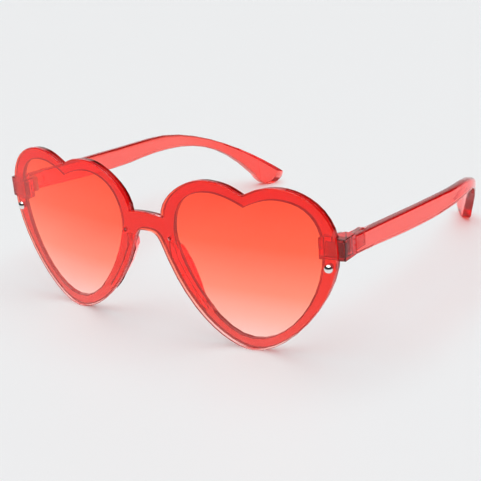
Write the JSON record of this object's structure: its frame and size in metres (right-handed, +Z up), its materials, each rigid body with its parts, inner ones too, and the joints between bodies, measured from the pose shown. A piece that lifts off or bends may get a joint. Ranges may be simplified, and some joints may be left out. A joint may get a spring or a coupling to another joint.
{
  "type": "sunglasses",
  "caption": "Heart shaped sunglasses with a one piece tinted shield lens riveted to a moulded front, and folding temples on barrel hinges.",
  "frame": {"origin": "middle of the underside of the open glasses, on the surface that the hearts' low points and the temple tips stand on", "axes": "+X towards the wearer's left, -Y out of the front, +Y back along the temples, +Z up"},
  "size_m": [0.146, 0.1468, 0.0589],
  "materials": {
    "rim_plastic": "polished, clear red",
    "lens_plastic": "polished, clear red at the top and paler below",
    "temple_plastic": "polished, clear red",
    "rivet_metal": "polished",
    "hinge_metal": "bright, slightly worn"
  },
  "bodies": {
    "front": {"front_frame": "rim_plastic", "shield_lens": "lens_plastic", "lens_rivet_left": "rivet_metal", "lens_rivet_right": "rivet_metal", "front_hinge_leaf_left": "hinge_metal", "front_hinge_leaf_right": "hinge_metal", "hinge_screw_left": "hinge_metal", "hinge_screw_right": "hinge_metal"},
    "left_temple": {"temple_left": "temple_plastic", "temple_hinge_leaf_left": "hinge_metal"},
    "right_temple": {"temple_right": "temple_plastic", "temple_hinge_leaf_right": "hinge_metal"}
  },
  "joints": [
    {"name": "left_temple_fold", "type": "hinge", "parent": "front", "child": "left_temple", "pos_m": [0.0674, -0.05707, 0.0393], "axis": [0, 0, 1], "range_deg": [0, 82]},
    {"name": "right_temple_fold", "type": "hinge", "parent": "front", "child": "right_temple", "pos_m": [-0.0674, -0.05707, 0.0393], "axis": [0, 0, -1], "range_deg": [0, 72]}
  ]
}
